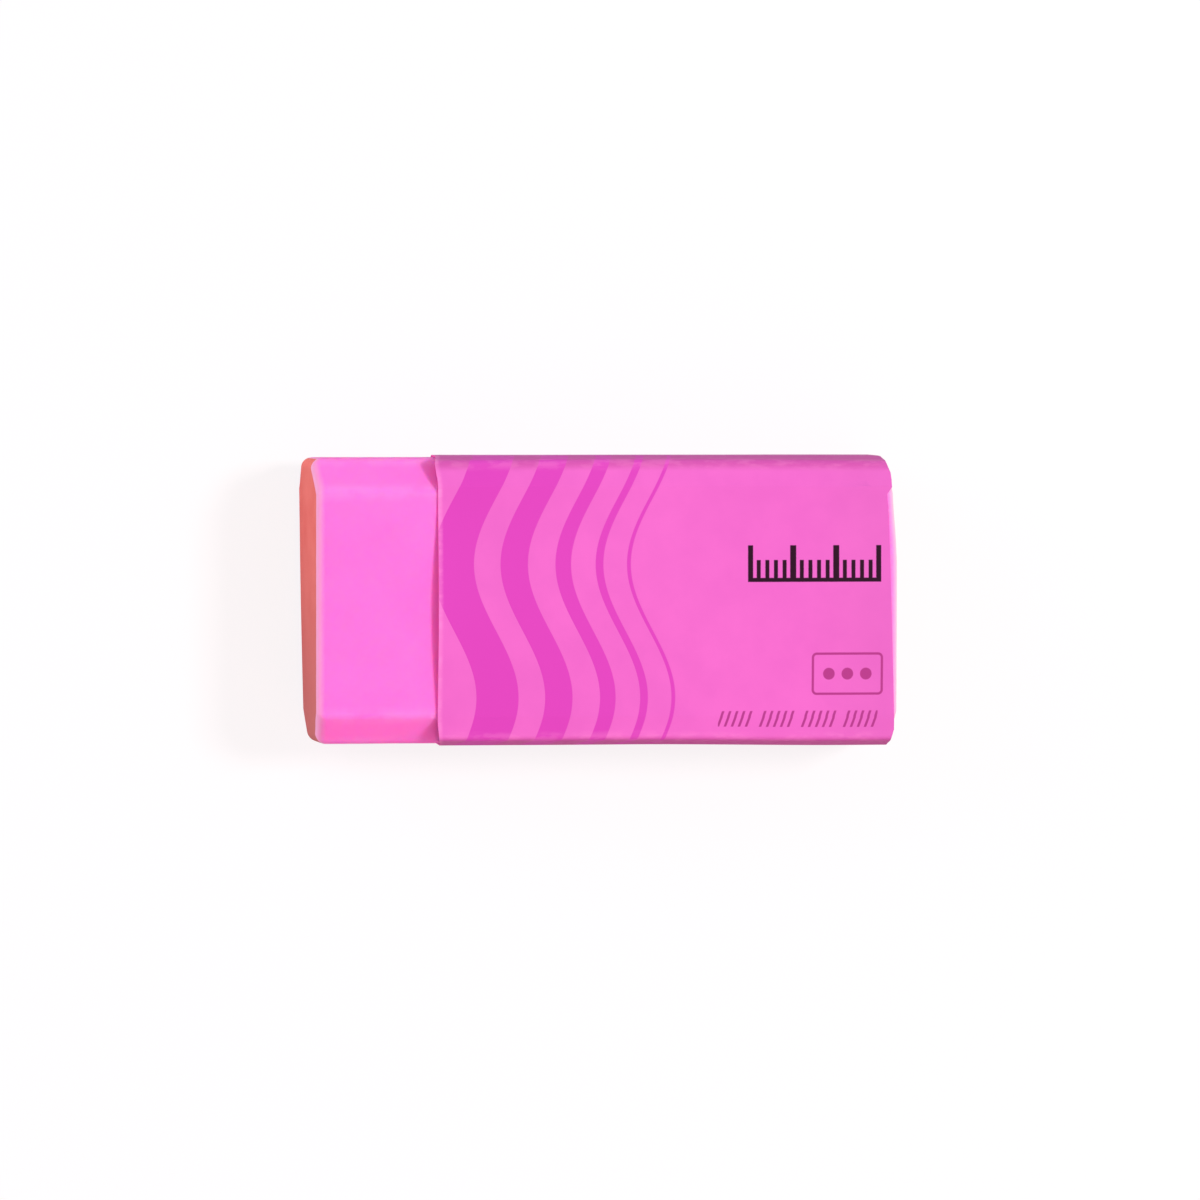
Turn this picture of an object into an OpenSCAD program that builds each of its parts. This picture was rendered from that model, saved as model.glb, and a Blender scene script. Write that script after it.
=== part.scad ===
// Rubber eraser in a folded card sleeve, lying on one of its large faces.
// X runs along the block, from its bare end to its covered end. Z points up from the table.
// The origin is under the middle of the block, on the table.

/* [Rubber block] */
// Length of the block
block_length = 59; // [50:0.5:75]
// Width of the block
block_width = 28.7; // [20:0.1:38]
// Thickness of the block
block_thickness = 12; // [9:0.1:16]
// Leg of the 45 degree bevel along each of the four long edges
bevel = 2.8; // [1.5:0.05:3.5]
// Radius of the soft ridge on each side of a bevel
ridge_radius = 1; // [0.3:0.05:1.5]
// Radius of the end edges of the two large faces
face_edge_radius = 0.9; // [0.3:0.05:1.5]
// Radius of the end edges of the four bevels
bevel_edge_radius = 1; // [0.3:0.05:1.5]
// Radius of the end edges of the two narrow sides
side_edge_radius = 1.3; // [0.3:0.05:1.5]

/* [Card sleeve] */
// Length of bare rubber in front of the sleeve
bare_length = 12.2; // [0:0.1:12.3]
// Length of the sleeve along its middle
sleeve_length = 46.2; // [25:0.1:46.3]
// How far the back end of the sleeve runs out of square, over its whole width
cut_skew = 0.9; // [0:0.1:1.1]
// Thickness of the card
card = 0.15; // [0.12:0.01:0.35]
// Free space between the rubber and the card
clearance = 0.04; // [0.03:0.01:0.15]
// Slope of a large panel from the block's ridge down to its own fold, in degrees
panel_slope = 7; // [4:0.5:9]
// Height of the bow in the middle of the top panel
crown = 0.3; // [0.1:0.05:0.5]
// The sleeve leans: its top fold at +Y and its bottom fold at -Y lie this far inside the walls
near_fold_inset = 0.3; // [0.2:0.05:0.5]
// How far its other two folds lie inside the walls
far_fold_inset = 0.6; // [0.5:0.05:1.2]
// Radius of a fold, at the middle of the card
fold_radius = 0.55; // [0.3:0.05:0.6]
// Radius of the gentle bends where the card leaves the block, at the middle of the card
bend_radius = 2; // [0.8:0.1:3]
// Width of the glue flap under the block, from its fold
flap_width = 10; // [6:0.5:12]
// Gap between the free edge of the bottom panel and the fold beside it
seam_gap = 0.6; // [0.4:0.1:1.2]

/* [Hidden] */
// Sides of a full circle on screen
$fn = 96;
// Turn of one step along a fold, in degrees
fold_step = 10;
// Longest step along a bend
longest_step = 3;
// How far a cutting shape runs past what it cuts
past = 1;

// The block lies on the glue flap, which lies on the bottom panel.
block_floor = 2 * card + clearance;
block_mid = block_floor + block_thickness / 2;
sleeve_height = block_floor + block_thickness + clearance + card + 2 * crown;
// Half of the flat part of the block's large face and of its narrow side, up to the ridge
half_face = block_width / 2 - bevel;
half_side = block_thickness / 2 - bevel;
// Distance between two opposite bevels
across_bevels = (block_width / 2 + block_thickness / 2 - bevel) * sqrt(2);

// The card's middle line: its height in the two large panels, and its place in the narrow sides
low = card / 2;
high = block_floor + block_thickness + clearance + card / 2;
side = block_width / 2 + clearance + card / 2;
outer_fold = side - near_fold_inset;
inner_fold = side - far_fold_inset;
sleeve_front = -block_length / 2 + bare_length;

// Direction from a to b, in degrees
function heading(a, b) = atan2(b[1] - a[1], b[0] - a[0]);
// A step of the given length to the left of a direction
function leftward(direction, step) = step * [-sin(direction), cos(direction)];

// One side of a card strip round its corner b, where it turns left with the given middle radius
function bend(a, b, c, radius, shift) =
    let (
        start = heading(a, b),
        turn = (heading(b, c) - start + 360) % 360,
        reach = radius * tan(turn / 2),
        centre = b - reach * [cos(start), sin(start)] + leftward(start, radius),
        steps = ceil(max(turn / fold_step, turn * PI / 180 * radius / longest_step))
    )
    [for (i = [0:steps]) centre - leftward(start + turn * i / steps, radius - shift)];

// One side of a whole card strip, shifted to the left of its path of [point, radius] corners
function strip_side(path, shift) =
    let (last = len(path) - 1)
    [
        path[0][0] + leftward(heading(path[0][0], path[1][0]), shift),
        for (i = [1:last - 1]) each bend(path[i - 1][0], path[i][0], path[i + 1][0], path[i][1], shift),
        path[last][0] + leftward(heading(path[last - 1][0], path[last][0]), shift)
    ];

function reversed(list) = [for (i = [len(list) - 1:-1:0]) list[i]];

// A strip of card seen on its edge
module strip(path) {
    polygon(concat(strip_side(path, -card / 2), reversed(strip_side(path, card / 2))));
}

// A rectangle with four round corners
module round_plate(length, depth, radius) {
    square([length - 2 * radius, depth], center = true);
    square([length, depth - 2 * radius], center = true);
    for (x = [-1, 1], y = [-1, 1])
        translate([x * (length / 2 - radius), y * (depth / 2 - radius)])
            circle(radius);
}

// A bar along the block whose two faces, the given distance apart, end in round edges
module round_ended_bar(depth, radius) {
    rotate([90, 0, 0])
        translate([0, 0, -block_width])
            linear_extrude(2 * block_width)
                round_plate(block_length, depth, radius);
}

// The block's cross-section, an octagon with soft ridges
module block_section() {
    w = block_width / 2;
    h = block_thickness / 2;
    reach = ridge_radius * tan(22.5);
    cut = reach * sin(45);
    quarter = [
        [w, half_side - reach],
        [w - cut, half_side + cut],
        [half_face + cut, h - cut],
        [half_face - reach, h]
    ];
    polygon(concat(
        quarter,
        reversed([for (p = quarter) [-p[0], p[1]]]),
        [for (p = quarter) [-p[0], -p[1]]],
        reversed([for (p = quarter) [p[0], -p[1]]])
    ));
    for (y = [-1, 1], z = [-1, 1]) {
        translate([y * (w - ridge_radius), z * (half_side - reach)])
            circle(ridge_radius);
        translate([y * (half_face - reach), z * (h - ridge_radius)])
            circle(ridge_radius);
    }
}

module rubber_block() {
    color("#fd7de3")
        translate([0, 0, block_mid])
            intersection() {
                rotate([90, 0, 90])
                    linear_extrude(block_length, center = true)
                        block_section();
                round_ended_bar(block_thickness, face_edge_radius);
                rotate([90, 0, 0])
                    round_ended_bar(block_width, side_edge_radius);
                intersection_for (turn = [-45, 45])
                    rotate([turn, 0, 0])
                        round_ended_bar(across_bevels, bevel_edge_radius);
            }
}

// The folded card on its edge: the wrap runs from its free edge under the block, round the block and
// halfway down the other narrow side, and the flap goes on from there to lie on the wrap's first panel
module sleeve_section() {
    outer_drop = (outer_fold - half_face) * tan(panel_slope);
    inner_drop = (inner_fold - half_face) * tan(panel_slope);
    crown_slope = atan2(2 * crown, half_face);
    crown_reach = half_face / cos(crown_slope) - bend_radius * tan((panel_slope + crown_slope) / 2);
    first_fold = [-outer_fold, low + outer_drop];
    first_bend = [-half_face, low];
    flap_fold = first_fold + leftward(-panel_slope, card);
    flap_bend = first_bend + leftward(-panel_slope / 2, card / cos(panel_slope / 2));
    joint = [-side, block_mid];
    strip([
        [first_fold + seam_gap * [cos(panel_slope), -sin(panel_slope)], 0],
        [first_bend, bend_radius],
        [[half_face, low], bend_radius],
        [[inner_fold, low + inner_drop], fold_radius],
        [[side, block_mid - half_side], bend_radius],
        [[side, block_mid + half_side], bend_radius],
        [[outer_fold, high - outer_drop], fold_radius],
        [[half_face, high], bend_radius],
        [[0, high + 2 * crown], crown_reach / tan(crown_slope)],
        [[-half_face, high], bend_radius],
        [[-inner_fold, high - inner_drop], fold_radius],
        [[-side, block_mid + half_side], bend_radius],
        [joint, 0]
    ]);
    strip([
        [joint, 0],
        [[-side, block_mid - half_side], bend_radius],
        [flap_fold, fold_radius],
        [flap_bend, bend_radius - card],
        [[flap_width - outer_fold, low + card], 0]
    ]);
}

// The sleeve seen from above, with a square front and a back that is cut askew
module sleeve_plan() {
    reach = side + past;
    skew = cut_skew / 2 * reach / side;
    polygon([
        [sleeve_front, -reach],
        [sleeve_front + sleeve_length + skew, -reach],
        [sleeve_front + sleeve_length - skew, reach],
        [sleeve_front, reach]
    ]);
}

module card_sleeve() {
    color("#f86ed1")
        intersection() {
            translate([sleeve_front - past, 0, 0])
                rotate([90, 0, 90])
                    linear_extrude(sleeve_length + cut_skew + 2 * past)
                        sleeve_section();
            translate([0, 0, -past])
                linear_extrude(sleeve_height + 2 * past)
                    sleeve_plan();
        }
}

rubber_block();
card_sleeve();
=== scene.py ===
import math

import bpy
from mathutils import Matrix, Vector, noise

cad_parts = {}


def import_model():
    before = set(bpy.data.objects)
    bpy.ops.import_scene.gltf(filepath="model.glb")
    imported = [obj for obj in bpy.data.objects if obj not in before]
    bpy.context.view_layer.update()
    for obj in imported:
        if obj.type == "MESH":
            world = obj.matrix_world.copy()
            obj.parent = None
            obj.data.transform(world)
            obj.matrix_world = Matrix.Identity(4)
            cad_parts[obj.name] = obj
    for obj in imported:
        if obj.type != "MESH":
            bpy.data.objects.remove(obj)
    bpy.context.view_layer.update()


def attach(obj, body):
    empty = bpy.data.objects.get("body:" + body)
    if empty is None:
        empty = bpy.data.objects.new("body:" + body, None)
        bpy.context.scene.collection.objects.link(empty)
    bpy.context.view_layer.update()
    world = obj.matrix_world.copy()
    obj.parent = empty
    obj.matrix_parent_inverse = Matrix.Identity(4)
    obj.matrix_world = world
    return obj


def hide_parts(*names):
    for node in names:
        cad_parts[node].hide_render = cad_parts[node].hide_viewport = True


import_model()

# Sizes are in millimetres, as in the part's source, and turned into metres where a mesh is made.
MM = 0.001

# The block
BLOCK_LENGTH = 59.0
BLOCK_WIDTH = 28.7
BLOCK_THICKNESS = 12.0
BEVEL = 2.8
# Radii of the ridges beside the narrow sides, of the top face's worn one at +Y, and of the others
SIDE_RIDGE = 1.35
SOFT_RIDGE = 1.2
CRISP_RIDGE = 1.02
# How far the worn ridge lies further in than its bevel brings it
SOFT_RIDGE_INSET = 0.42
# Radii of the end edges of the large faces, the bevels and the narrow sides
FACE_EDGE = 0.9
BEVEL_EDGE = 1.0
SIDE_EDGE = 1.1

# The sleeve
BARE_LENGTH = 12.2
SLEEVE_LENGTH = 46.2
CUT_SKEW = 0.9
CARD = 0.15
CLEARANCE = 0.04
PANEL_SLOPE = math.radians(7)
NEAR_FOLD_INSET = 0.3
FAR_FOLD_INSET = 0.6
FOLD_RADIUS = 0.55
BEND_RADIUS = 2.0
FLAP_WIDTH = 10.0
SEAM_GAP = 0.6

# Heights and half widths that follow from them, at the middle of the card where it is the card's
BLOCK_FLOOR = 2 * CARD + CLEARANCE
BLOCK_MID = BLOCK_FLOOR + BLOCK_THICKNESS / 2
PANEL_LOW = CARD / 2
PANEL_HIGH = BLOCK_FLOOR + BLOCK_THICKNESS + CLEARANCE + CARD / 2
HALF_FACE = BLOCK_WIDTH / 2 - BEVEL
HALF_SIDE = BLOCK_THICKNESS / 2 - BEVEL
SIDE = BLOCK_WIDTH / 2 + CLEARANCE + CARD / 2
OUTER_FOLD = SIDE - NEAR_FOLD_INSET
INNER_FOLD = SIDE - FAR_FOLD_INSET
SLEEVE_FRONT = -BLOCK_LENGTH / 2 + BARE_LENGTH

# How fine the meshes are: the longest step where a section is straight, the turn of one step round
# a bend, and the rows along the piece, which crowd together at the sleeve's ends
BLOCK_STEP = 0.8
BLOCK_TURN = math.radians(5)
BLOCK_ROWS = 64
END_EDGE_STEPS = 9
CAP_RINGS = 8
CAP_CROWDING = 1.3
SLEEVE_STEP = 0.7
SLEEVE_TURN = math.radians(12)
SLEEVE_ROW = 0.6
SLEEVE_END = 0.8
SLEEVE_END_ROWS = 4
# Faces that meet at a larger angle are shaded with a sharp edge
SHARP = math.radians(50)


def smooth(low, high, value):
    """0 at low and 1 at high, whichever is larger, and a smooth step between them."""
    t = min(max((value - low) / (high - low), 0.0), 1.0)
    return t * t * (3 - 2 * t)


def heading(a, b):
    """Direction from a to b, as an angle."""
    return math.atan2(b[1] - a[1], b[0] - a[0])


def corner_arc(a, b, c, radius, turn_step):
    """Points (y, z, heading, radius) round the corner b, where the path from a to c turns left."""
    start = heading(a, b)
    turn = (heading(b, c) - start) % (2 * math.pi)
    reach = radius * math.tan(turn / 2)
    centre = (
        b[0] - reach * math.cos(start) - radius * math.sin(start),
        b[1] - reach * math.sin(start) + radius * math.cos(start),
    )
    steps = max(2, math.ceil(turn / turn_step))
    angles = [start + turn * i / steps for i in range(steps + 1)]
    return [
        (centre[0] + radius * math.sin(h), centre[1] - radius * math.cos(h), h, radius)
        for h in angles
    ]


def trace(path, closed, spacing, turn_step):
    """Points (y, z, heading, radius, length so far) along a path of (y, z, radius) corners.

    The radius is 0 where the path is straight.
    """
    count = len(path)
    arcs = []
    for i, (y, z, radius) in enumerate(path):
        if not closed and i == 0:
            arcs.append([(y, z, heading(path[0], path[1]), 0)])
        elif not closed and i == count - 1:
            arcs.append([(y, z, heading(path[-2], path[-1]), 0)])
        else:
            arcs.append(corner_arc(path[i - 1], (y, z), path[(i + 1) % count], radius, turn_step))
    points = []
    for i, arc in enumerate(arcs):
        points += arc
        if not closed and i == count - 1:
            break
        a = arc[-1]
        b = arcs[(i + 1) % count][0]
        gap = math.dist(a[:2], b[:2])
        steps = max(1, math.ceil(gap / spacing))
        for k in range(1, steps):
            t = k / steps
            points.append((a[0] + (b[0] - a[0]) * t, a[1] + (b[1] - a[1]) * t, a[2], 0))
    lengths = [0.0]
    for a, b in zip(points, points[1:]):
        lengths.append(lengths[-1] + math.dist(a[:2], b[:2]))
    return [(*p, length) for p, length in zip(points, lengths)]


def spread(start, end, spacing, edge, edge_steps):
    """Places from start to end, closer together over a short edge at both ends."""
    middle = max(1, math.ceil((end - start - 2 * edge) / spacing))
    fine = [edge * k / edge_steps for k in range(edge_steps)]
    places = [start + f for f in fine]
    places += [start + edge + (end - start - 2 * edge) * k / middle for k in range(middle + 1)]
    places += [end - f for f in reversed(fine)]
    return places


def make_piece(name, vertices, faces, slots, materials, attributes):
    """A smooth mesh object from points in millimetres, with one number per point for each attribute."""
    mesh = bpy.data.meshes.new(name)
    mesh.from_pydata([(x * MM, y * MM, z * MM) for x, y, z in vertices], [], faces)
    for material in materials:
        mesh.materials.append(material)
    mesh.polygons.foreach_set("material_index", slots)
    mesh.polygons.foreach_set("use_smooth", [True] * len(faces))
    for key, values in attributes.items():
        mesh.attributes.new(key, "FLOAT", "POINT").data.foreach_set("value", values)
    mesh.set_sharp_from_angle(angle=SHARP)
    mesh.update()
    piece = bpy.data.objects.new(name, mesh)
    bpy.context.scene.collection.objects.link(piece)
    return piece


# Materials


def srgb(code):
    """A hex colour as the linear numbers that a shader takes."""
    parts = [int(code[i : i + 2], 16) / 255 for i in (1, 3, 5)]
    return (*[p / 12.92 if p <= 0.04045 else ((p + 0.055) / 1.055) ** 2.4 for p in parts], 1.0)


class Graph:
    """Short calls that build the nodes of one material."""

    def __init__(self, name, **constants):
        self.material = bpy.data.materials.new(name)
        self.material.use_nodes = True
        self.tree = self.material.node_tree
        self.shader = self.tree.nodes["Principled BSDF"]
        for key, value in constants.items():
            self.shader.inputs[key.replace("_", " ")].default_value = value

    def put(self, socket, value):
        if isinstance(value, bpy.types.NodeSocket):
            self.tree.links.new(value, socket)
        else:
            socket.default_value = value

    def node(self, kind, inputs, **settings):
        made = self.tree.nodes.new(kind)
        for key, value in settings.items():
            setattr(made, key, value)
        for key, value in inputs.items():
            self.put(made.inputs[key], value)
        return made

    def math(self, operation, *values):
        return self.node("ShaderNodeMath", dict(enumerate(values)), operation=operation).outputs[0]

    def chain(self, operation, values):
        """One operation on all the values, from the first to the last."""
        total = values[0]
        for value in values[1:]:
            total = self.math(operation, total, value)
        return total

    def add(self, *values):
        return self.chain("ADD", values)

    def times(self, *values):
        return self.chain("MULTIPLY", values)

    def most(self, *values):
        return self.chain("MAXIMUM", values)

    def step(self, value, low, high):
        """0 at low and 1 at high, whichever is larger, with a smooth step between them."""
        inputs = {"Value": value, "From Min": low, "From Max": high}
        return self.node("ShaderNodeMapRange", inputs, interpolation_type="SMOOTHSTEP").outputs[0]

    def scaled(self, value, low, high):
        """A number from 0 to 1, spread out between low and high."""
        inputs = {"Value": value, "To Min": low, "To Max": high}
        return self.node("ShaderNodeMapRange", inputs).outputs[0]

    def attribute(self, name):
        return self.node("ShaderNodeAttribute", {}, attribute_name=name).outputs["Fac"]

    def place(self, stretch=(1, 1, 1)):
        """Object coordinates, in millimetres, stretched along each axis."""
        spot = self.node("ShaderNodeTexCoord", {}).outputs["Object"]
        inputs = {0: spot, 1: [s / MM for s in stretch]}
        return self.node("ShaderNodeVectorMath", inputs, operation="MULTIPLY").outputs[0]

    def coordinate(self, axis):
        """One of the object coordinates, in millimetres."""
        return self.node("ShaderNodeSeparateXYZ", {0: self.place()}).outputs[axis]

    def noise(self, size, detail=2.0, roughness=0.5, where=None):
        """Noise from 0 to 1 with grains of a size in millimetres."""
        inputs = {
            "Vector": where or self.place(),
            "Scale": 1 / size,
            "Detail": detail,
            "Roughness": roughness,
        }
        return self.node("ShaderNodeTexNoise", inputs).outputs["Fac"]

    def mix(self, factor, a, b):
        """The colour a where the factor is 0, and b where it is 1."""
        made = self.node("ShaderNodeMix", {"Factor": factor}, data_type="RGBA")
        colours = [s for s in made.inputs if s.type == "RGBA"]
        self.put(colours[0], a)
        self.put(colours[1], b)
        return [s for s in made.outputs if s.type == "RGBA"][0]

    def bump(self, height, depth):
        """A bump whose height of 0 to 1 stands for a depth in millimetres."""
        inputs = {"Height": height, "Distance": depth * MM, "Strength": 1.0}
        return self.node("ShaderNodeBump", inputs).outputs["Normal"]

    def finish(self, **links):
        for key, value in links.items():
            self.put(self.shader.inputs[key.replace("_", " ")], value)
        return self.material


# How far red, green and blue light spread in the rubber, in millimetres
SCATTER = (3.0, 0.15, 0.8)
RUBBER_PINK = (srgb("#ff79d9"), srgb("#ff7fdd"))
# Paler pink of the ridges: a painted highlight
RIDGE_HIGHLIGHT_PINK = srgb("#ff9eea")
# Pale end edges at the bare end and the covered end: partly wear and partly a painted highlight
BARE_END_WEAR_AND_HIGHLIGHT = srgb("#ffcbf0")
COVERED_END_WEAR_AND_HIGHLIGHT = srgb("#fac9d9")
CORAL = (srgb("#f28579"), srgb("#f89184"))
# Darker coral of the end faces towards -Y: painted shade
CORAL_PAINTED_SHADE = srgb("#cf827c")


def rubber():
    """Pink rubber: soft mottling, fine grain, ridges paler with a painted highlight, end edges paler
    with wear and a painted highlight, and coral end faces that darken towards -Y with painted shade.

    The attribute `end` is 0 on the long faces and 1 where the coral starts.
    """
    g = Graph(
        "rubber",
        Subsurface_Scale=MM,
        Subsurface_Radius=SCATTER,
        Specular_IOR_Level=0.1,
    )
    cloud = g.noise(9.0, 3.0)
    grain = g.noise(0.35, 3.0, 0.6)
    pink = g.mix(g.step(cloud, 0.3, 0.7), *RUBBER_PINK)
    # The ridges are paler in patches: a painted highlight
    ridge = g.times(g.attribute("ridge"), g.step(g.noise(2.6, 3.0), 0.25, 0.6))
    pink = g.mix(g.times(ridge, 0.3), pink, RIDGE_HIGHLIGHT_PINK)
    end = g.attribute("end")
    ragged = g.add(end, g.times(g.add(g.noise(1.1, 3.0), -0.5), 0.08))
    # The end edges are paler: partly wear and partly a painted highlight, in another tint at the covered
    # end
    pale = g.mix(g.step(g.coordinate(0), 10.0, 20.0), BARE_END_WEAR_AND_HIGHLIGHT, COVERED_END_WEAR_AND_HIGHLIGHT)
    pink = g.mix(g.times(g.step(ragged, -0.02, 0.8), 0.9), pink, pale)
    coral = g.mix(g.step(g.noise(4.0, 3.0), 0.3, 0.75), *CORAL)
    # The coral darkens towards -Y: painted shade
    coral = g.mix(g.step(g.coordinate(1), 10.0, -16.0), coral, CORAL_PAINTED_SHADE)
    colour = g.mix(g.step(ragged, 0.9, 1.02), pink, coral)
    height = g.add(g.times(grain, 0.5), g.noise(2.2, 2.0))
    rough = g.scaled(g.add(g.times(cloud, 0.5), g.times(grain, 0.5)), 0.5, 0.68)
    return g.finish(
        Base_Color=colour,
        Roughness=rough,
        Normal=g.bump(height, 0.02),
        Subsurface_Weight=g.scaled(g.step(end, 0.5, -0.1), 0.0, 0.6),
    )


# The print. A box is (left, right, low, high), along the sleeve and round its girth.
# Softness of a printed line
EDGE = 0.05
# Where each band starts and ends along the sleeve, and the waves that they run in
BANDS = [(1.6, 5.9), (8.6, 11.4), (14.2, 15.8), (18.3, 19.1), (21.5, 21.9)]
WAVE_LENGTH = 26.9
WAVE_START = 3.0
WAVE_HEIGHT = 2.3
# The scale: its lines' width, its steps, and the steps between two long lines. A short line has a
# share of the height of a long one, and a long line is wider by a factor.
SCALE_BOX = (31.6, 45.3, 1.9, 5.6)
SCALE_LINE = 0.42
SCALE_STEPS = 15
SCALE_GROUP = 5
SHORT_HEIGHT = 0.6
LONG_WIDTH = 1.5
# The rounded box with three discs
TILE_BOX = (38.3, 45.4, -9.4, -5.35)
TILE_CORNER = 0.4
TILE_LINE = 0.24
DISC_RADIUS = 0.6
DISC_PITCH = 1.9
# The slanted strokes: their pitch, width and slant, and how many make a group
HATCH_BOX = (28.6, 45.0, -12.6, -11.1)
HATCH_PITCH = 0.72
HATCH_LINE = 0.26
HATCH_SLANT = 0.35
HATCH_GROUP = 5


class Print:
    """Masks for simple printed shapes, in millimetres along the sleeve and round its girth."""

    def __init__(self, graph):
        self.g = graph
        self.along = graph.attribute("along")
        self.girth = graph.attribute("girth")

    def under(self, value, limit):
        return self.g.step(value, limit + EDGE, limit - EDGE)

    def gap(self, value, centre):
        return self.g.math("ABSOLUTE", self.g.add(value, -centre))

    def distance(self, x, y):
        return self.g.math("SQRT", self.g.add(self.g.times(x, x), self.g.times(y, y)))

    def bar(self, value, low, high):
        return self.under(self.gap(value, (low + high) / 2), (high - low) / 2)

    def row(self, value, first, pitch, width):
        """Bars of a width, one at first and one at each pitch from there."""
        count = self.g.times(self.g.add(value, -first), 1 / pitch)
        off = self.g.add(count, self.g.times(self.g.math("ROUND", count), -1))
        return self.under(self.g.times(self.g.math("ABSOLUTE", off), pitch), width / 2)

    def bands(self):
        """Bands that run round the sleeve in waves, each narrower than the one before."""
        turn = 2 * math.pi / WAVE_LENGTH
        wave = self.g.math("SINE", self.g.times(self.g.add(self.girth, WAVE_START), turn))
        level = self.g.add(self.along, self.g.times(wave, WAVE_HEIGHT))
        return self.g.most(*[self.bar(level, low, high) for low, high in BANDS])

    def scale(self):
        """A plain scale of lines, with a long and wide one after each group."""
        left, right, low, high = SCALE_BOX
        pitch = (right - left - SCALE_LINE) / SCALE_STEPS
        first = left + SCALE_LINE / 2
        short = self.g.times(
            self.row(self.along, first, pitch, SCALE_LINE),
            self.bar(self.girth, low, low + (high - low) * SHORT_HEIGHT),
        )
        long = self.g.times(
            self.row(self.along, first, SCALE_GROUP * pitch, SCALE_LINE * LONG_WIDTH),
            self.bar(self.girth, low, high),
        )
        base = self.bar(self.girth, low, low + SCALE_LINE)
        return self.g.times(self.g.most(short, long, base), self.bar(self.along, left, right))

    def tile(self):
        """The outline of a small rounded box, with three discs in it."""
        left, right, low, high = TILE_BOX
        middle = ((left + right) / 2, (low + high) / 2)
        half = ((right - left) / 2 - TILE_CORNER, (high - low) / 2 - TILE_CORNER)
        x = self.g.add(self.gap(self.along, middle[0]), -half[0])
        y = self.g.add(self.gap(self.girth, middle[1]), -half[1])
        outside = self.distance(self.g.most(x, 0.0), self.g.most(y, 0.0))
        inside = self.g.math("MINIMUM", self.g.most(x, y), 0.0)
        edge = self.gap(self.g.add(outside, inside), TILE_CORNER)
        shapes = [self.under(edge, TILE_LINE / 2)]
        for k in (-1, 0, 1):
            away = self.distance(
                self.g.add(self.along, -middle[0] - k * DISC_PITCH),
                self.g.add(self.girth, -middle[1]),
            )
            shapes.append(self.under(away, DISC_RADIUS))
        return self.g.most(*shapes)

    def hatch(self):
        """A row of small slanted strokes in groups, with a gap after each group."""
        left, right, low, high = HATCH_BOX
        slanted = self.g.add(self.along, self.g.times(self.girth, -HATCH_SLANT))
        first = left - HATCH_SLANT * low
        strokes = self.row(slanted, first, HATCH_PITCH, HATCH_LINE)
        first_gap = first + HATCH_GROUP * HATCH_PITCH
        gaps = self.row(slanted, first_gap, (HATCH_GROUP + 1) * HATCH_PITCH, HATCH_PITCH)
        strokes = self.g.times(strokes, self.g.add(1.0, self.g.times(gaps, -1)))
        return self.g.times(strokes, self.bar(self.girth, low, high), self.bar(self.along, left, right))


CARD_PINK = (srgb("#d868c4"), srgb("#e06fca"))
CARD_DUSKY = srgb("#b65ca6")
# Darker pink of the narrow sides: painted shade
SIDE_PAINTED_SHADE = srgb("#bd4da2")
BAND_INK = srgb("#cd46ba")
HATCH_INK = srgb("#9d357f")
TILE_INK = srgb("#a63c86")
SCALE_INK = srgb("#1c0a18")
# Paler pink of the specks on the folds and of the mouth's edge, which is partly rubbing and partly a
# painted highlight
PALE_MARK_PINK = srgb("#ffa9e2")
BARE_CARD = (srgb("#f06abf"), srgb("#f881cc"))
# Where, along the sleeve, its colour starts to dull towards the back, and where it is dullest
DUSKY = (36.0, 45.0)
# Where, round the girth, the painted shade of the narrow sides starts and where it is full
SIDE_SHADE_REACH = ((13.0, 13.9), (-13.4, -14.2))
# Where, round the girth, a highlight is painted on the mouth over the block's ridge, and half the width
# of that spot
RIDGE_HIGHLIGHT = 10.9
RIDGE_HIGHLIGHT_REACH = 0.4
# Where the paler edge of the mouth, partly rubbing and partly a painted highlight, ends along the
# sleeve, and where it is full
MOUTH_RUB_AND_HIGHLIGHT = (0.6, 0.15)


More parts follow.
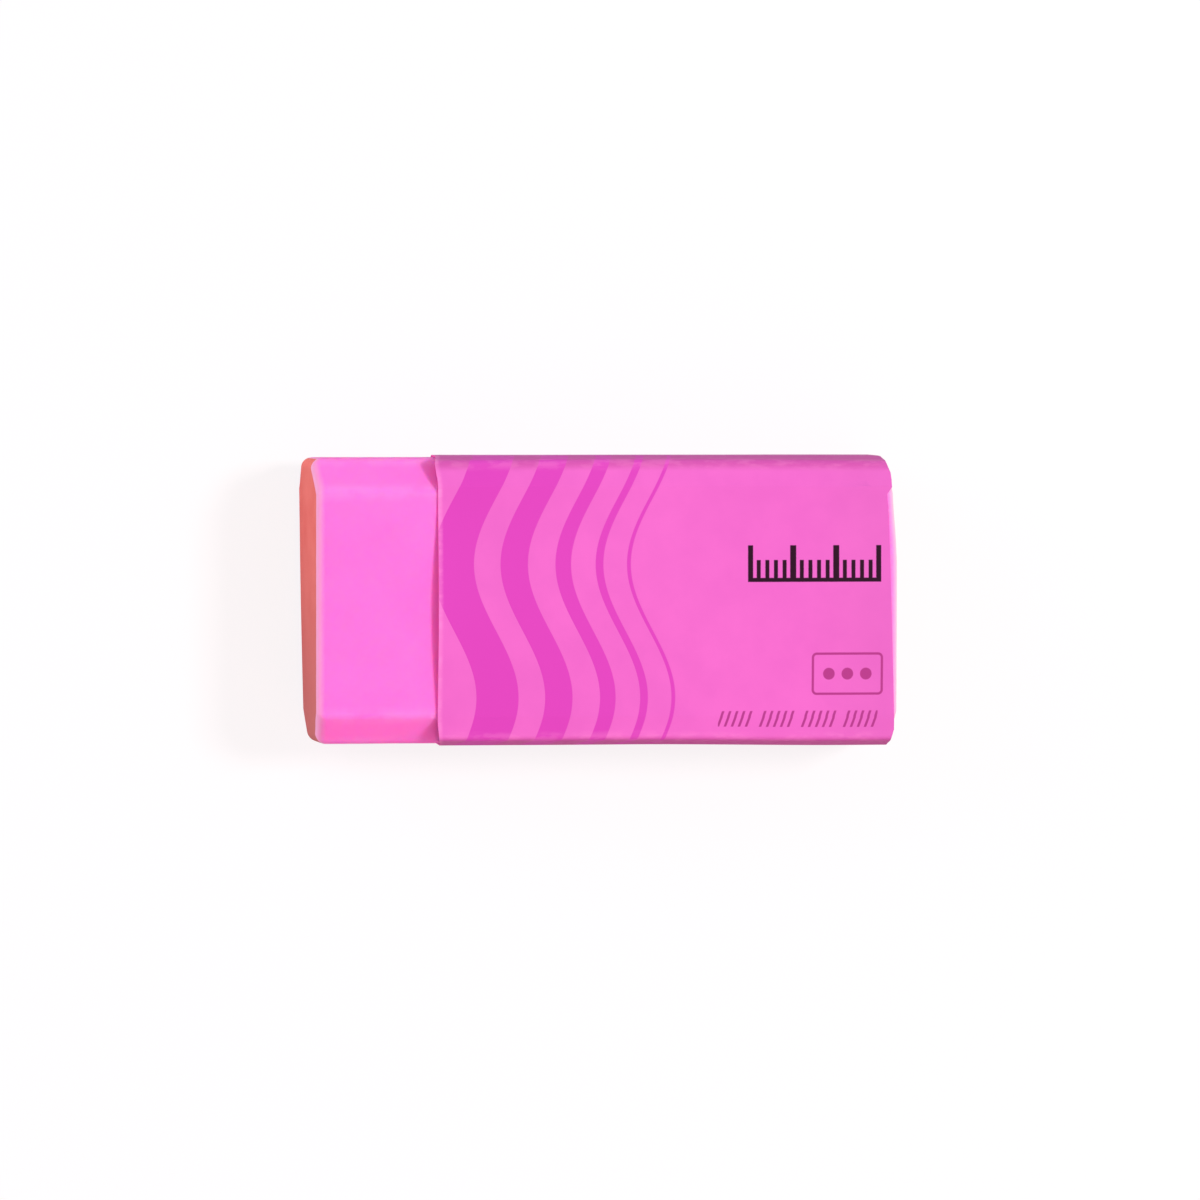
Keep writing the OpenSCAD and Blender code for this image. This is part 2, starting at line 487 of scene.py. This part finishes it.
def printed_card():
    """Pink printed card with a satin varnish, its print laid out by length and girth."""
    g = Graph(
        "printed_card",
        Specular_IOR_Level=0.12,
        Specular_Tint=(1.0, 0.4, 0.75, 1.0),
        Coat_Weight=0.02,
        Coat_Roughness=0.4,
    )
    art = Print(g)
    cloud = g.noise(14.0, 2.0)
    fine_cloud = g.noise(3.0, 3.0)
    fibre = g.noise(0.5, 3.0, 0.6, g.place((0.45, 1.0, 1.0)))
    tone = g.add(g.times(g.step(cloud, 0.3, 0.72), 0.6), g.times(g.step(fine_cloud, 0.3, 0.72), 0.4))
    ink = g.mix(tone, *CARD_PINK)
    ink = g.mix(g.times(g.step(art.along, *DUSKY), 0.22), ink, CARD_DUSKY)
    # The narrow sides are darker: painted shade
    side_shade = g.add(*[g.step(art.girth, *start) for start in SIDE_SHADE_REACH])
    ink = g.mix(g.times(side_shade, 0.8), ink, SIDE_PAINTED_SHADE)
    ink = g.mix(art.bands(), ink, BAND_INK)
    ink = g.mix(g.times(art.hatch(), 0.9), ink, HATCH_INK)
    ink = g.mix(art.tile(), ink, TILE_INK)
    ink = g.mix(art.scale(), ink, SCALE_INK)
    speckle = g.step(g.noise(0.8, 4.0, 0.6, g.place((0.35, 1.0, 1.0))), 0.42, 0.62)
    # The folds are paler in specks
    pale_fold = g.times(g.attribute("fold"), g.scaled(speckle, 0.03, 0.15))
    # A painted highlight on the mouth's edge over the block's ridge
    ridge_highlight = art.under(art.gap(art.girth, RIDGE_HIGHLIGHT), RIDGE_HIGHLIGHT_REACH)
    # The mouth's edge is paler: partly rubbing and partly a painted highlight
    mouth_rub_and_highlight = g.times(
        g.step(art.along, *MOUTH_RUB_AND_HIGHLIGHT),
        g.scaled(g.add(g.times(speckle, 0.5), g.times(ridge_highlight, 0.8)), 0.2, 0.5),
    )
    ink = g.mix(g.most(pale_fold, mouth_rub_and_highlight), ink, PALE_MARK_PINK)
    rough = g.scaled(g.add(g.times(cloud, 0.5), g.times(fibre, 0.5)), 0.36, 0.5)
    return g.finish(Base_Color=ink, Roughness=rough, Normal=g.bump(fibre, 0.01))


def bare_card():
    """The unprinted inside and the cut edges of the card, which is pink all through."""
    g = Graph("bare_card", Specular_IOR_Level=0.15)
    fibre = g.noise(0.3, 4.0, 0.65, g.place((0.4, 1.0, 1.0)))
    colour = g.mix(g.step(fibre, 0.3, 0.7), *BARE_CARD)
    return g.finish(Base_Color=colour, Roughness=g.scaled(fibre, 0.75, 0.95), Normal=g.bump(fibre, 0.02))


# The block: an octagonal bar with soft ridges, whose ends are rounded off


# How far round an end edge of a narrow side the coral starts, where 1 is at the flat end
CORAL_START = 0.25
# The attribute `end` on the flat ends, well past the 1 at which the coral starts
FLAT_END = 1.5


def block_outline():
    """Points (y, z, outward direction, end radius, where coral starts, 1 on a ridge) round the block."""
    w = BLOCK_WIDTH / 2
    h = BLOCK_THICKNESS / 2
    corners = [
        (w, -HALF_SIDE, SIDE_RIDGE),
        (w, HALF_SIDE, SIDE_RIDGE),
        (HALF_FACE - SOFT_RIDGE_INSET, h, SOFT_RIDGE),
        (-HALF_FACE, h, CRISP_RIDGE),
        (-w, HALF_SIDE, SIDE_RIDGE),
        (-w, -HALF_SIDE, SIDE_RIDGE),
        (-HALF_FACE, -h, CRISP_RIDGE),
        (HALF_FACE, -h, CRISP_RIDGE),
    ]
    outline = []
    for y, z, turn, bend, _ in trace(corners, True, BLOCK_STEP, BLOCK_TURN):
        normal = (math.sin(turn), -math.cos(turn))
        # 0 on a narrow side, 45 on a bevel and 90 on a large face
        steepness = math.degrees(math.atan2(abs(normal[1]), abs(normal[0])))
        radius = SIDE_EDGE + (BEVEL_EDGE - SIDE_EDGE) * smooth(0, 45, steepness)
        radius += (FACE_EDGE - BEVEL_EDGE) * smooth(45, 90, steepness)
        coral = CORAL_START + (1 - CORAL_START) * smooth(0, 45, steepness)
        outline.append((y, z, normal, radius, coral, float(bend > 0)))
    return outline


def block_piece(material):
    """The block: rows of the outline from end to end, then rings that close each flat end."""
    outline = block_outline()
    around = len(outline)
    half = BLOCK_LENGTH / 2
    quarter = math.pi / 2
    # Each row's place between the rounded ends, from -1 to 1, and its turn round an end edge
    rows = [(-1, quarter * k / END_EDGE_STEPS) for k in range(END_EDGE_STEPS, 0, -1)]
    rows += [(2 * k / BLOCK_ROWS - 1, 0.0) for k in range(BLOCK_ROWS + 1)]
    rows += [(1, quarter * k / END_EDGE_STEPS) for k in range(1, END_EDGE_STEPS + 1)]
    vertices = []
    end = []
    ridge = []
    for place, turn in rows:
        for y, z, normal, radius, coral, on_ridge in outline:
            x = place * (half - radius) + math.copysign(radius * math.sin(turn), place)
            inset = radius * (1 - math.cos(turn))
            spot = Vector((x, y - normal[0] * inset, z - normal[1] * inset))
            endward = math.sin(turn) * math.copysign(1, place)
            out = Vector((endward, *[n * math.cos(turn) for n in normal]))
            vertices.append(worn(spot, out))
            end.append(turn / quarter / coral)
            ridge.append(on_ridge)
    faces = []
    for r in range(len(rows) - 1):
        for k in range(around):
            a = r * around + k
            b = r * around + (k + 1) % around
            faces.append((a, b, b + around, a + around))
    for place, last in ((-1, 0), (1, (len(rows) - 1) * around)):
        out = Vector((place, 0, 0))
        for step in range(1, CAP_RINGS):
            ring = 1 - (step / CAP_RINGS) ** CAP_CROWDING
            start = len(vertices)
            for y, z, normal, radius, _, _ in outline:
                flat = Vector((0, y - normal[0] * radius, z - normal[1] * radius)) * ring
                vertices.append(worn(Vector((place * half, flat.y, flat.z)), out))
            for k in range(around):
                n = (k + 1) % around
                quad = (last + k, start + k, start + n, last + n)
                faces.append(quad if place > 0 else quad[::-1])
            last = start
        tip = len(vertices)
        vertices.append(worn(Vector((place * half, 0, 0)), out))
        for k in range(around):
            fan = (last + k, tip, last + (k + 1) % around)
            faces.append(fan if place > 0 else fan[::-1])
    end += [FLAT_END] * (len(vertices) - len(end))
    ridge += [0.0] * (len(vertices) - len(ridge))
    vertices = [(v.x, v.y, v.z + BLOCK_MID) for v in vertices]
    slots = [0] * len(faces)
    attributes = {"end": end, "ridge": ridge}
    return make_piece("rubber_block_skin", vertices, faces, slots, [material], attributes)


# Size and depth of the broad and the small patches that wear has taken off
BROAD_WEAR = (7.0, 0.02)
SMALL_WEAR = (2.2, 0.01)
SMALL_WEAR_PLACE = Vector((31, 7, 5))
# The bare end's bow and turn out of square at the table, which fade towards the top face
BARE_END_BOW = 0.09
BARE_END_TURN = 0.31
# How far the bare end is drawn in at its -Y corner and stands out at its +Y corner. Each starts at one
# share of the half width and is full at another.
BARE_CORNER_IN = 0.22
BARE_CORNER_IN_WIDTH = (-0.78, -0.95)
BARE_CORNER_OUT = 0.2
BARE_CORNER_OUT_WIDTH = (0.75, 1.0)
# How far the covered end stands out in its middle, between a rise at each side, and is drawn in at +Y
COVERED_MIDDLE_OUT = 0.36
COVERED_MIDDLE_WIDTH = ((0.8, 0.2), (-1.05, -0.8))
COVERED_CORNER_IN = 0.1
COVERED_CORNER_WIDTH = (0.4, 0.8)
# Where, from the middle of the block, these start and where they are full
END_SKEW = (26.0, 29.0)


def worn(spot, out):
    """Takes a little off the surface, and leaves both ends slightly out of square."""
    broad = 0.5 + 0.5 * noise.noise(spot / BROAD_WEAR[0])
    small = 0.5 + 0.5 * noise.noise(spot / SMALL_WEAR[0] + SMALL_WEAR_PLACE)
    moved = spot - out * (BROAD_WEAR[1] * broad + SMALL_WEAR[1] * small)
    across = spot.y / (BLOCK_WIDTH / 2)
    depth = 0.5 - spot.z / BLOCK_THICKNESS
    bare = depth * (BARE_END_BOW * across**2 - BARE_END_TURN * across)
    corner_in = BARE_CORNER_IN * (1 - depth) * smooth(*BARE_CORNER_IN_WIDTH, across)
    bare += corner_in - BARE_CORNER_OUT * smooth(*BARE_CORNER_OUT_WIDTH, across)
    middle_out = COVERED_MIDDLE_OUT
    for rise in COVERED_MIDDLE_WIDTH:
        middle_out *= smooth(*rise, across)
    covered = middle_out - COVERED_CORNER_IN * smooth(*COVERED_CORNER_WIDTH, across)
    start, full = END_SKEW
    moved.x += bare * smooth(-start, -full, spot.x) + covered * smooth(start, full, spot.x)
    return moved


# The sleeve: one strip of card, folded round the block, with its flap inside the bottom panel


def sleeve_path():
    """Corners (y, z, radius) of the card's middle line, from its free edge round to the flap's."""
    outer_drop = (OUTER_FOLD - HALF_FACE) * math.tan(PANEL_SLOPE)
    inner_drop = (INNER_FOLD - HALF_FACE) * math.tan(PANEL_SLOPE)
    first_fold = (-OUTER_FOLD, PANEL_LOW + outer_drop)
    free_edge = (
        first_fold[0] + SEAM_GAP * math.cos(PANEL_SLOPE),
        first_fold[1] - SEAM_GAP * math.sin(PANEL_SLOPE),
    )
    flap_fold = (
        first_fold[0] + CARD * math.sin(PANEL_SLOPE),
        first_fold[1] + CARD * math.cos(PANEL_SLOPE),
    )
    flap_bend = (-HALF_FACE + CARD * math.tan(PANEL_SLOPE / 2), PANEL_LOW + CARD)
    return [
        (*free_edge, 0),
        (-HALF_FACE, PANEL_LOW, BEND_RADIUS),
        (HALF_FACE, PANEL_LOW, BEND_RADIUS),
        (INNER_FOLD, PANEL_LOW + inner_drop, FOLD_RADIUS),
        (SIDE, BLOCK_MID - HALF_SIDE, BEND_RADIUS),
        (SIDE, BLOCK_MID + HALF_SIDE, BEND_RADIUS),
        (OUTER_FOLD, PANEL_HIGH - outer_drop, FOLD_RADIUS),
        (HALF_FACE, PANEL_HIGH, BEND_RADIUS),
        (-HALF_FACE, PANEL_HIGH, BEND_RADIUS),
        (-INNER_FOLD, PANEL_HIGH - inner_drop, FOLD_RADIUS),
        (-SIDE, BLOCK_MID + HALF_SIDE, BEND_RADIUS),
        (-SIDE, BLOCK_MID - HALF_SIDE, BEND_RADIUS),
        (*flap_fold, FOLD_RADIUS),
        (*flap_bend, BEND_RADIUS - CARD),
        (FLAP_WIDTH - OUTER_FOLD, PANEL_LOW + CARD, 0),
    ]


# The bow of the top panel: its middle, its half width, how pointed it is, how high it is all along,
# how much higher at the mouth and how far that reaches, and the height and size of its ripples
BOW_MIDDLE = -1.2
BOW_REACH = HALF_FACE - 0.8
BOW_POWER = 1.4
TOP_RISE = 0.14
MOUTH_RISE = 0.46
MOUTH_REACH = 6.5
RIPPLE = 0.04
RIPPLE_SIZE = 9
# How far the top's back corners are pressed down, over what width and what length
BACK_CORNER_DROP = 0.1
BACK_CORNER_WIDTH = (11.5, 13.6)
BACK_CORNER_LENGTH = 2.2
# How far the top fold at +Y is drawn in at the mouth and at the back, and over what height
FOLD_IN_FRONT = 0.08
FOLD_IN_BACK = 0.15
FOLD_IN_HEIGHT = (8, 12)
# How far that fold is pressed down at the mouth, over what width and what height
FOLD_DROP = 0.4
FOLD_DROP_WIDTH = (12.2, 13.6)
FOLD_DROP_HEIGHT = (9.5, 12.0)
# How far the wall at -Y stands out at the back, and over what length
WALL_OUT = 0.17
WALL_OUT_LENGTH = (20, 42)
# How far the mouth's corners stand out at +Y and are drawn in at -Y, and how far that reaches
CORNER_OUT = 0.25
CORNER_IN = 0.2
CORNER_REACH = 2.5
# The mouth's edge runs back below this height, by one share of the drop and then by a smaller one
MOUTH_TOP = 12.3
STEEP_DROP = 3.5
STEEP_SHARE = 0.16
GENTLE_SHARE = 0.09
# How far along the sleeve the shifts of the mouth's folds and walls reach
EDGE_REACH = 4
# The unevenness of the narrow sides: its height, its size, and how high up it lies
WALL_WAVE = 0.02
WALL_WAVE_SIZE = 12
WALL_WAVE_LOW = 2
WALL_WAVE_HIGH = 10


def card_shift(x, y, z, back):
    """How far the card strays from its ideal fold at a place, as (x, y, z)."""
    front = x - SLEEVE_FRONT
    shift = Vector((0.0, 0.0, 0.0))
    if z > PANEL_HIGH - 1:
        across = min(abs(y - BOW_MIDDLE) / BOW_REACH, 1)
        crown = math.cos(across * math.pi / 2) ** BOW_POWER
        shift.z += crown * (TOP_RISE + MOUTH_RISE * math.exp(-front / MOUTH_REACH))
        ripple = 0.5 + 0.5 * noise.noise(Vector((x / RIPPLE_SIZE, y / RIPPLE_SIZE, 3)))
        shift.z += RIPPLE * crown * ripple
        corner = smooth(*BACK_CORNER_WIDTH, abs(y)) * smooth(BACK_CORNER_LENGTH, 0, back - x)
        shift.z -= BACK_CORNER_DROP * corner
    if y > HALF_FACE:
        halfway = SLEEVE_LENGTH / 2
        fold_in = FOLD_IN_BACK if front > halfway else FOLD_IN_FRONT
        shift.y -= ((front - halfway) / halfway) ** 2 * fold_in * smooth(*FOLD_IN_HEIGHT, z)
    at_fold = smooth(*FOLD_DROP_WIDTH, y) * smooth(*FOLD_DROP_HEIGHT, z)
    shift.z -= FOLD_DROP * at_fold * math.exp(-front / EDGE_REACH)
    if y < -HALF_FACE:
        shift.y -= WALL_OUT * smooth(*WALL_OUT_LENGTH, front)
    at_corner = smooth(HALF_FACE, OUTER_FOLD, abs(y)) * math.exp(-front / CORNER_REACH)
    shift.x -= at_corner * (CORNER_OUT if y > 0 else -CORNER_IN)
    drop = max(MOUTH_TOP - z, 0)
    drawn = STEEP_SHARE * min(drop, STEEP_DROP) + GENTLE_SHARE * max(drop - STEEP_DROP, 0)
    shift.x += drawn * math.exp(-front / EDGE_REACH)
    if abs(y) > INNER_FOLD - 1 and WALL_WAVE_LOW < z < WALL_WAVE_HIGH:
        wave = noise.noise(Vector((x / WALL_WAVE_SIZE, y, z / WALL_WAVE_SIZE)))
        shift.y += math.copysign(WALL_WAVE + WALL_WAVE * wave, y)
    return shift


# The back edge: how far all of it lies behind the square cut, and how far it stands out or is drawn
# in at places across it. Each starts at one y and is full at another.
BACK_OUT = 0.15
FAR_TONGUE_OUT = 0.52
FAR_TONGUE_WIDTH = (10.9, 11.4)
FAR_CORNER_IN = 0.5
FAR_CORNER_WIDTH = (12.7, 14.4)
FAR_RIDGE_IN = 0.1
FAR_RIDGE_WIDTH = (8.8, 10.9)
NEAR_CORNER_IN = 0.3
NEAR_CORNER_WIDTH = (-12.8, -14.0)
# The height at which the tongue and the corner at +Y start, and the one at which they are full
FAR_END_HEIGHT = (6, 10)


def sleeve_back(y, z):
    """Where the card's back edge lies: cut askew, with one corner standing out and one drawn in."""
    square = SLEEVE_FRONT + SLEEVE_LENGTH - CUT_SKEW / 2 * y / SIDE
    out = FAR_TONGUE_OUT * smooth(*FAR_TONGUE_WIDTH, y) - FAR_CORNER_IN * smooth(*FAR_CORNER_WIDTH, y)
    out = out * smooth(*FAR_END_HEIGHT, z) - FAR_RIDGE_IN * smooth(*FAR_RIDGE_WIDTH, y)
    return square + BACK_OUT + out - NEAR_CORNER_IN * smooth(*NEAR_CORNER_WIDTH, y)


def sleeve_piece(materials):
    """The sleeve: an outer and an inner layer, joined along the mouth, the back and both free edges."""
    section = trace(sleeve_path(), False, SLEEVE_STEP, SLEEVE_TURN)
    across = len(section)
    # The length along the path at which it passes the middle of the top panel, where the girth is 0
    top = min((p for p in section if p[1] > PANEL_HIGH - CARD / 2), key=lambda p: abs(p[0]))
    top_length = top[4] + top[0]
    # Each row's place along the sleeve, as a share of the way from the mouth to the back edge
    rows = spread(0, 1, SLEEVE_ROW / SLEEVE_LENGTH, SLEEVE_END / SLEEVE_LENGTH, SLEEVE_END_ROWS)
    vertices = []
    girth = []
    along = []
    fold = []
    for side in (1, -1):
        for row in rows:
            for y, z, turn, bend, length in section:
                back = sleeve_back(y, z)
                x = SLEEVE_FRONT + (back - SLEEVE_FRONT) * row
                out = side * CARD / 2
                spot = Vector((x, y + out * math.sin(turn), z - out * math.cos(turn)))
                vertices.append(spot + card_shift(x, y, z, back))
                girth.append(top_length - length)
                along.append(x - SLEEVE_FRONT)
                fold.append(float(0 < bend < 1))
    layer = len(rows) * across
    faces = []
    slots = []

    def add(quad, slot):
        faces.append(quad)
        slots.append(slot)

    for r in range(len(rows) - 1):
        for k in range(across - 1):
            a = r * across + k
            add((a, a + 1, a + 1 + across, a + across), 0)
            a += layer
            add((a, a + across, a + 1 + across, a + 1), 1)
    for k in range(across - 1):
        a = k
        add((a, a + layer, a + 1 + layer, a + 1), 1)
        a = (len(rows) - 1) * across + k
        add((a, a + 1, a + 1 + layer, a + layer), 1)
    for r in range(len(rows) - 1):
        a = r * across
        add((a, a + across, a + across + layer, a + layer), 1)
        a = r * across + across - 1
        add((a, a + layer, a + across + layer, a + across), 1)
    attributes = {"girth": girth, "along": along, "fold": fold}
    return make_piece("card_sleeve_wrap", vertices, faces, slots, materials, attributes)


block = block_piece(rubber())
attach(block, "block")
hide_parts("rubber_block")

sleeve = sleeve_piece([printed_card(), bare_card()])
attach(sleeve, "sleeve")
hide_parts("card_sleeve")


# Floor, light and camera


# Half the width of the floor, and how far it lies under the sleeve, in metres
FLOOR_REACH = 3.0
FLOOR_DROP = 0.02 * MM
# How much of the floor that the camera sees is plain white, and how pale the lit floor is to it and
# to the object
FLOOR_WHITE = 0.84
FLOOR_SEEN = 0.95
FLOOR_BOUNCE = 0.5


def floor():
    """A plain pale floor. Most of what the camera sees of it is plain white, under a soft shadow."""
    g = Graph("floor", Specular_IOR_Level=0.1, Roughness=0.9)
    seen = g.node("ShaderNodeLightPath", {}).outputs["Is Camera Ray"]
    bounce = (FLOOR_BOUNCE, FLOOR_BOUNCE, FLOOR_BOUNCE, 1)
    g.finish(Base_Color=g.mix(seen, bounce, (FLOOR_SEEN, FLOOR_SEEN, FLOOR_SEEN, 1)))
    glow = g.node("ShaderNodeEmission", {"Strength": 1.0})
    blend = g.node("ShaderNodeMixShader", {0: g.times(seen, FLOOR_WHITE)})
    g.tree.links.new(g.shader.outputs[0], blend.inputs[1])
    g.tree.links.new(glow.outputs[0], blend.inputs[2])
    g.tree.links.new(blend.outputs[0], g.tree.nodes["Material Output"].inputs["Surface"])
    mesh = bpy.data.meshes.new("floor")
    corners = [(-1, -1), (1, -1), (1, 1), (-1, 1)]
    places = [(FLOOR_REACH * x, FLOOR_REACH * y, -FLOOR_DROP) for x, y in corners]
    mesh.from_pydata(places, [], [(0, 1, 2, 3)])
    mesh.materials.append(g.material)
    made = bpy.data.objects.new("floor", mesh)
    bpy.context.scene.collection.objects.link(made)


# The colour of the surroundings, and how strongly they light the object. The camera and clear or
# glossy surfaces see them at full strength.
SURROUNDINGS = (1, 0.87, 0.94, 1)
AMBIENT = 0.45


def world():
    """Plain pale surroundings, dimmer as a light than they look."""
    made = bpy.data.worlds.new("studio")
    bpy.context.scene.world = made
    made.use_nodes = True
    tree = made.node_tree
    background = tree.nodes["Background"]
    background.inputs["Color"].default_value = SURROUNDINGS
    path = tree.nodes.new("ShaderNodeLightPath")
    seen = path.outputs["Is Camera Ray"]
    for key in ("Is Glossy Ray", "Is Transmission Ray"):
        either = tree.nodes.new("ShaderNodeMath")
        either.operation = "MAXIMUM"
        tree.links.new(seen, either.inputs[0])
        tree.links.new(path.outputs[key], either.inputs[1])
        seen = either.outputs[0]
    level = tree.nodes.new("ShaderNodeMapRange")
    level.inputs["To Min"].default_value = AMBIENT
    level.inputs["To Max"].default_value = 1.0
    tree.links.new(seen, level.inputs["Value"])
    tree.links.new(level.outputs[0], background.inputs["Strength"])


def lamp(name, toward, distance, size, level, tint):
    """A square lamp that lights a white surface facing it to the given level, where 1 is white."""
    data = bpy.data.lights.new(name, "AREA")
    data.color = tint
    data.size = size
    data.energy = level * math.pi**2 * distance**2
    made = bpy.data.objects.new(name, data)
    direction = Vector(toward).normalized()
    made.location = direction * distance
    made.rotation_euler = direction.to_track_quat("Z", "Y").to_euler()
    bpy.context.scene.collection.objects.link(made)


floor()
world()
lamp(
    "key",
    toward=(0.75, 0.22, 1.0),
    distance=1.2,
    size=0.26,
    level=0.71,
    tint=(1.0, 0.97, 0.98),
)
lamp(
    "fill",
    toward=(-1.0, 0.5, 0.4),
    distance=0.8,
    size=0.5,
    level=0.46,
    tint=(1.0, 0.62, 0.72),
)
lamp(
    "warm_fill",
    toward=(0.3, -1.0, 0.9),
    distance=0.8,
    size=0.5,
    level=0.3,
    tint=(1.0, 0.2, 0.25),
)

# The view leans along the block and a little across it, and is turned slightly
TILT = math.radians(10.28)
NOD = math.radians(1.89)
ROLL = math.radians(0.15)
LENS = 300.0
SENSOR = 36.0
# Width of the picture at the target, in metres
FRAME_WIDTH = 0.1205
TARGET = Vector((-0.83, 0.14, 12.6)) * MM


def camera():
    """A long lens over the block, which looks almost straight down."""
    data = bpy.data.cameras.new("camera")
    data.lens = LENS
    data.sensor_width = SENSOR
    data.clip_end = 20
    made = bpy.data.objects.new("camera", data)
    back = Vector((-math.sin(TILT) * math.cos(NOD), math.sin(NOD), math.cos(TILT) * math.cos(NOD)))
    right = Vector((math.cos(TILT), 0, math.sin(TILT)))
    up = back.cross(right)
    roll = Matrix.Rotation(ROLL, 3, back)
    turn = Matrix((roll @ right, roll @ up, back)).transposed()
    distance = FRAME_WIDTH * LENS / SENSOR
    made.matrix_world = Matrix.Translation(TARGET + back * distance) @ turn.to_4x4()
    bpy.context.scene.collection.objects.link(made)
    bpy.context.scene.camera = made


camera()
bpy.context.scene.view_settings.view_transform = "Standard"
